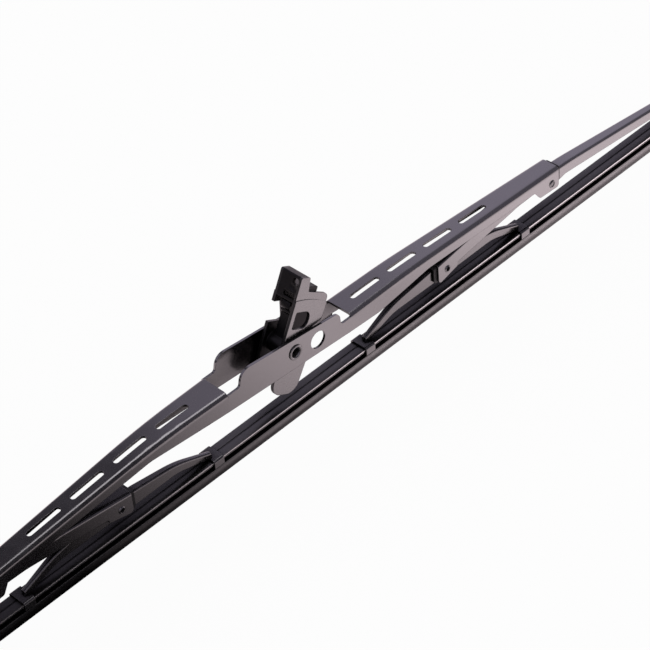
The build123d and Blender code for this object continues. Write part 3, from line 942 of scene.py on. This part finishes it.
@dataclass
class WipingElement:
    """The rubber and its two steel spines, in lengths along the blade."""

    half_length: float = 299.99
    spine_half: float = 296.0
    top: float = -29.1
    head_half: float = 3.8
    head_height: float = 2.5
    head_round: float = 0.12
    groove_half: float = 0.4
    groove_depth: float = 0.3
    neck_half: float = 1.1
    neck_height: float = 1.85
    shoulder_half: float = 3.6
    shoulder_height: float = 0.8
    wedge_height: float = 5.25
    lip_root_half: float = 0.85
    lip_half: float = 0.45
    lip_height: float = 2.6
    spine_depth: float = 0.25
    spine_thick: float = 0.7
    spine_width: float = 2.3
    spine_inset: float = 0.05
    slot_gap: float = 0.05
    step: float = 4.0
    inner_claw: dict[Hand, float] = field(
        default_factory=lambda: {Hand.LEFT: 42.7, Hand.RIGHT: 43.8}
    )
    outer_claw: dict[Hand, float] = field(
        default_factory=lambda: {Hand.LEFT: 140.2, Hand.RIGHT: 141.3}
    )
    free_start: float = 28.0
    free_end: float = 205.0

    def spans(self, hand: Hand) -> list[Span]:
        """The lengths of one half, each with the bodies that it follows."""
        inner, outer = self.inner_claw[hand], self.outer_claw[hand]
        return [
            Span("middle", 0.0, self.free_start, (Link.BRIDGE, Link.LEVER)),
            Span("inner", self.free_start, inner, (Link.LEVER, Link.YOKE)),
            Span("yoke", inner, outer, (Link.YOKE,)),
            Span("outer", outer, self.free_end, (Link.YOKE, Link.LEVER)),
            Span("end", self.free_end, self.half_length, (Link.LEVER,)),
        ]

    def rubber_section(self) -> Section:
        """The rubber across the blade: head with two slots, neck, shoulders, wedge and lip."""
        top, head, gap = self.top, self.head_half, self.slot_gap
        slot_top = top - self.spine_depth + gap
        slot_low = top - self.spine_depth - self.spine_thick - gap
        slot_in = head - self.spine_inset - self.spine_width - gap
        chin = top - self.head_height
        neck = chin - self.neck_height
        shoulder = neck - self.shoulder_height
        wedge = shoulder - self.wedge_height
        tip = wedge - self.lip_height
        half = [
            (self.groove_half, top - self.groove_depth, 0.1),
            (self.groove_half, top, 0.1),
            (head, top, self.head_round),
            (head, slot_top, 0.0),
            (slot_in, slot_top, 0.0),
            (slot_in, slot_low, 0.0),
            (head, slot_low, 0.06),
            (head, slot_low - 0.5, 0.15),
            (self.neck_half, chin, 0.3),
            (self.neck_half, neck, 0.2),
            (self.shoulder_half, neck, 0.15),
            (self.shoulder_half, shoulder, 0.25),
            (self.lip_root_half, wedge, 0.9),
            (self.lip_half, tip, 0.03),
        ]
        return Section(tuple(half + [(-y, z, r) for y, z, r in reversed(half)]))

    def spine_section(self, side: int) -> Section:
        """One spine across the blade, on the near or far side."""
        outer = self.head_half - self.spine_inset
        inner = outer - self.spine_width
        high = self.top - self.spine_depth
        low = high - self.spine_thick
        corners = [(outer, high), (outer, low), (inner, low), (inner, high)]
        return Section(tuple((side * y, z, 0.12) for y, z in corners))

    def marked(self, piece: Piece, mark: str) -> None:
        """Keeps each point's height in mm on the rubber, so that the painted shade towards the
        lip bends with it.

        Args:
            piece: The length of rubber.
            mark: The attribute's name.
        """
        heights = [vertex.co.z / MM for vertex in piece.data.vertices]
        layer = piece.data.attributes.new(mark, "FLOAT", "POINT")
        layer.data.foreach_set("value", heights)

    def length(self, piece: Piece, span: Span, hand: Hand) -> None:
        """Attaches a length of the rubber or a spine to its body when it follows one body alone;
        otherwise bakes its place into its mesh.

        Args:
            piece: The finished length.
            span: Where it lies and what it follows.
            hand: The half of the blade.
        """
        bodies = [link.body(hand) for link in span.follows]
        if len(bodies) == 1:
            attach(piece, bodies[0])
            return
        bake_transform(piece)

    def build(self, compound: WipingCompound, steel: Material) -> None:
        """Makes every length of the rubber and of both spines.

        Args:
            compound: The rubber's finish.
            steel: The spines' material.
        """
        rubber = compound.material()
        for hand in Hand:
            for span in self.spans(hand):
                ends = (hand.value * span.start, hand.value * span.end)
                name = f"rubber_{span.label}_{hand.word}"
                piece = Bench.drawn(name, self.rubber_section(), *ends, self.step)
                self.marked(piece, compound.mark)
                self.length(piece, span, hand)
                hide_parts("wiping_rubber")
                dress(piece, rubber)
                for word, side in (("near", -1), ("far", 1)):
                    stop = hand.value * min(span.end, self.spine_half)
                    name = f"spine_{word}_{span.label}_{hand.word}"
                    strip = Bench.drawn(
                        name, self.spine_section(side), ends[0], stop, self.step
                    )
                    self.length(strip, span, hand)
                    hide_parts(f"spine_{word}")
                    dress(strip, steel)


@dataclass
class Adapter:
    """The hook adapter, which keeps its CAD shape, with its tongue's catch and a thin web."""

    lift: float = 62.0
    catch_half: float = 2.5
    catch_ease: float = 0.3
    catch_side: tuple[Pair, ...] = (
        (19.4, 3.0),
        (19.4, 5.2),
        (16.6, 5.2),
        (15.2, 3.8),
        (14.9, 2.3),
        (17.6, 2.3),
    )
    web_span: Pair = (4.52, 5.6)
    web_ease: float = 0.08
    web_side: tuple[Pair, ...] = (
        (17.15, 2.4),
        (8.25, -1.6),
        (8.25, -2.2),
        (9.2, -3.6),
        (11.4, -4.45),
        (14.0, -4.45),
        (16.2, -3.6),
        (17.15, -1.4),
    )

    def moulded(self, name: str, side: Sequence[Pair], span: Pair, ease: float) -> Piece:
        """Draws a small moulding across the adapter and swings it up with it.

        Args:
            name: The piece's name.
            side: Its outline with the adapter lying flat, in mm.
            span: Where it starts and ends across the blade, in mm.
            ease: The round of its edges, in mm.

        Returns:
            The moulding.
        """
        piece = Bench.slab(name, side, span, ease)
        with Bench.edit(piece):
            bpy.ops.mesh.select_all(action="SELECT")
            bpy.ops.transform.rotate(
                value=math.radians(self.lift),
                orient_axis="Y",
                orient_type="GLOBAL",
                center_override=(0, 0, 0),
            )
        return piece

    def build(self, finish: Material) -> None:
        """Makes the catch and the web and dresses the adapter.

        Args:
            finish: The adapter's plastic.
        """
        half = self.catch_half
        for name, side, span, ease in (
            ("adapter_tongue_catch", self.catch_side, (-half, half), self.catch_ease),
            ("adapter_far_web", self.web_side, self.web_span, self.web_ease),
        ):
            piece = self.moulded(name, side, span, ease)
            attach(piece, Link.ADAPTER.body())
            dress(piece, finish)
        dress(frame["nodes"]["hook_adapter"], finish)


@dataclass
class Liners:
    """The bearing liners, which keep their CAD shape."""

    def build(self, finish: Material) -> None:
        """Dresses the four liners.

        Args:
            finish: The liners' plastic.
        """
        for hand in Hand:
            for kind in ("lever", "yoke"):
                dress(frame["nodes"][f"{kind}_liner_{hand.word}"], finish)


# ---------------------------------------------------------------- studio


@dataclass
class Lamp:
    """A square soft lamp that looks at a point."""

    name: str
    place: Point
    target: Point
    size: float
    watts: float
    colour: Colour = (1.0, 1.0, 1.0)

    def hang(self) -> None:
        """Hangs the lamp."""
        data = bpy.data.lights.new(self.name, "AREA")
        data.shape, data.size = "SQUARE", self.size
        data.energy, data.color = self.watts, self.colour
        lamp = bpy.data.objects.new(self.name, data)
        bpy.context.scene.collection.objects.link(lamp)
        way = Vector(self.target) - Vector(self.place)
        lamp.location = self.place
        lamp.rotation_euler = way.to_track_quat("-Z", "Y").to_euler()


@dataclass
class Studio:
    """Pale floor, soft lamps, white surroundings and the camera."""

    floor_height: float = -0.0525
    floor_half: float = 4.0
    eye: Point = (-0.449526, -0.519531, 0.602737)
    ahead: Point = (0.509009, 0.558778, -0.654735)
    right: Point = (0.695065, -0.715504, -0.070278)
    above: Point = (0.507735, 0.419312, 0.752584)
    lens: float = 128.6114
    sky: float = 0.7
    sky_grade: tuple[Pair, Pair] = ((0.2, 0.65), (0.03, 0.62))
    front_grade: tuple[Pair, Pair] = ((-0.15, 0.15), (0.35, 1.0))
    side_grade: tuple[Pair, Pair] = ((0.12, -0.05), (0.0, 0.45))
    sky_tint: Colour = (0.88, 0.79, 1.0)
    floor_grade: tuple[Pair, ...] = (
        (-0.105, 0.005),
        (-0.058, 0.155),
        (-0.012, 0.38),
        (0.028, 0.60),
        (0.058, 0.71),
        (0.093, 0.66),
        (0.153, 0.91),
        (0.178, 1.0),
    )
    near_strip: Pair = (-0.30, -0.08)
    far_strip: Pair = (0.025, 0.065)
    floor_rest: float = 0.55
    contact: float = 0.024
    contact_view: Pair = (0.62, 0.98)
    contact_tone: Pair = (0.1, 1.0)
    horizon: Pair = (0.15, 0.4)
    paper_tone: Pair = (0.80, 0.84)
    second_bounce: float = 0.2
    floor_tint: Colour = (1.0, 0.86, 0.90)
    floor_glow: float = 0.75
    paper_share: float = 0.95
    lamps: tuple[Lamp, ...] = (
        Lamp("key_softbox", (0.45, -0.15, 1.5), (0.0, 0, 0), 0.7, 2.6, (1.0, 0.95, 1.0)),
    )

    def floor(self) -> None:
        """Lays the pale floor, white to the camera apart from the shadow; in reflections it
        glows, graded along the blade, with a painted contact shadow beside the blade and painted
        shade on second bounces.
        """
        Bench.clear()
        bpy.ops.mesh.primitive_grid_add(
            x_subdivisions=8,
            y_subdivisions=8,
            size=2 * self.floor_half,
            location=(0, 0, self.floor_height),
        )
        floor = bpy.context.object
        floor.name = "studio_floor"
        sheet = Sheet("studio_floor")
        place = sheet.place()
        along, across, _ = sheet.add("SeparateXYZ", {0: place}).outputs
        seen = sheet.add("LightPath").outputs
        pale = sheet.spread(sheet.noise(place, 3, 2), CLOUD, self.paper_tone)
        white = sheet.add("CombineColor", {0: pale, 1: pale, 2: pale}).outputs[0]
        matt = sheet.add("BsdfDiffuse", {"Color": white}).outputs[0]
        paper = sheet.add("Emission", {"Color": (1, 1, 1, 1), "Strength": 1.0}).outputs[0]
        direct = sheet.maths("MAXIMUM", seen["Is Camera Ray"], seen["Is Transmission Ray"])
        share = sheet.maths("MULTIPLY", direct, self.paper_share)
        sheeted = sheet.add("MixShader", {0: share, 1: matt, 2: paper}).outputs[0]
        front = sheet.spread(across, self.near_strip, (1, 0))
        back = sheet.spread(across, self.far_strip, (0, 1))
        outside = sheet.maths("MAXIMUM", front, back)
        shine = sheet.tint(outside, sheet.ramp(along, self.floor_grade), (self.floor_rest,) * 3)
        # Painted shade on second bounces and a painted contact shadow beside the blade, seen only
        # in reflections.
        deeper = sheet.spread(seen["Glossy Depth"], (1, 2), (1.0, self.second_bounce))
        sockets = {"Distance": self.contact}
        hidden = sheet.add("AmbientOcclusion", sockets, samples=sheet.MASK_SAMPLES)
        contact = sheet.spread(hidden.outputs["AO"], self.contact_view, self.contact_tone)
        shine = sheet.maths("MULTIPLY", sheet.maths("MULTIPLY", shine, deeper), contact)
        tones = [sheet.maths("MULTIPLY", shine, tone) for tone in self.floor_tint]
        shade = sheet.add("CombineColor", dict(enumerate(tones))).outputs[0]
        lit = sheet.add("BsdfDiffuse", {"Color": shade}).outputs[0]
        glow = sheet.add("Emission", {"Color": shade, "Strength": self.floor_glow}).outputs[0]
        both = sheet.add("AddShader", {0: lit, 1: glow}).outputs[0]
        mirrored = seen["Is Glossy Ray"]
        mixed = sheet.add("MixShader", {0: mirrored, 1: sheeted, 2: both}).outputs[0]
        sheet.links.new(mixed, sheet.nodes["Material Output"].inputs["Surface"])
        floor.data.materials.append(sheet.material)

    def surroundings(self) -> None:
        """Sets the world: soft light all round, white to the camera, graded in reflections."""
        world = bpy.data.worlds.new("studio_surroundings")
        bpy.context.scene.world = world
        world.use_nodes = True
        sheet = Sheet.over(world.node_tree)
        seen = sheet.add("LightPath").outputs
        way = sheet.add("SeparateXYZ", {0: sheet.add("TexCoord").outputs["Generated"]}).outputs
        sideways = sheet.spread(way[0], *self.sky_grade)
        forward = sheet.spread(way[1], *self.front_grade)
        deeper = sheet.spread(seen["Glossy Depth"], (1, 2), (1.0, self.second_bounce))
        aside = sheet.spread(way[0], *self.side_grade)
        aside = sheet.maths("MULTIPLY", aside, sheet.spread(way[2], self.horizon, UNIT))
        level = sheet.maths("MAXIMUM", sheet.maths("MULTIPLY", sideways, forward), aside)
        level = sheet.maths("MULTIPLY", level, deeper)
        tones = [sheet.maths("MULTIPLY", level, tone) for tone in self.sky_tint]
        mirrored = sheet.add("CombineColor", dict(enumerate(tones))).outputs[0]
        sky = (self.sky,) * 3
        soft = sheet.tint(seen["Is Glossy Ray"], sky, mirrored)
        direct = sheet.maths("MAXIMUM", seen["Is Camera Ray"], seen["Is Transmission Ray"])
        colour = sheet.tint(direct, soft, (1.0, 1.0, 1.0))
        sheet.links.new(colour, sheet.nodes["Background"].inputs["Color"])

    def camera(self) -> None:
        """Sets the camera at the photograph's viewing angle."""
        data = bpy.data.cameras.new("photo_camera")
        data.lens, data.sensor_width, data.sensor_fit = self.lens, 36.0, "HORIZONTAL"
        data.clip_start, data.clip_end = 0.01, 50.0
        camera = bpy.data.objects.new("photo_camera", data)
        bpy.context.scene.collection.objects.link(camera)
        turn = Matrix((self.right, self.above, -Vector(self.ahead))).transposed().to_4x4()
        camera.matrix_world = Matrix.Translation(self.eye) @ turn
        bpy.context.scene.camera = camera

    def build(self) -> None:
        """Sets up floor, surroundings, lamps and camera."""
        bpy.context.scene.view_settings.view_transform = "Standard"
        self.floor()
        self.surroundings()
        for lamp in self.lamps:
            lamp.hang()
        self.camera()


def main() -> None:
    """Builds the blade piece by piece."""
    logging.basicConfig(level=logging.INFO, format="%(name)s: %(message)s")
    rivet = RivetBlack().material()
    # Levers and yokes get painted shade where something overhangs them.
    lever = FramePaint(name="lever_enamel", hood=40.0)
    yoke = FramePaint(
        name="yoke_enamel",
        roughness=(0.2, 0.3),
        depth=2.4,
        coat=0.7,
        shelter=9.0,
        hood=40.0,
    )
    Linkage().build(FramePaint().material(), lever.material(), yoke.material())
    Rivets().build(rivet)
    WipingElement().build(WipingCompound(), SpineSteel().material())
    Adapter().build(AdapterPlastic().material())
    Liners().build(LinerPlastic().material())
    Studio().build()


if __name__ == "__main__":
    main()
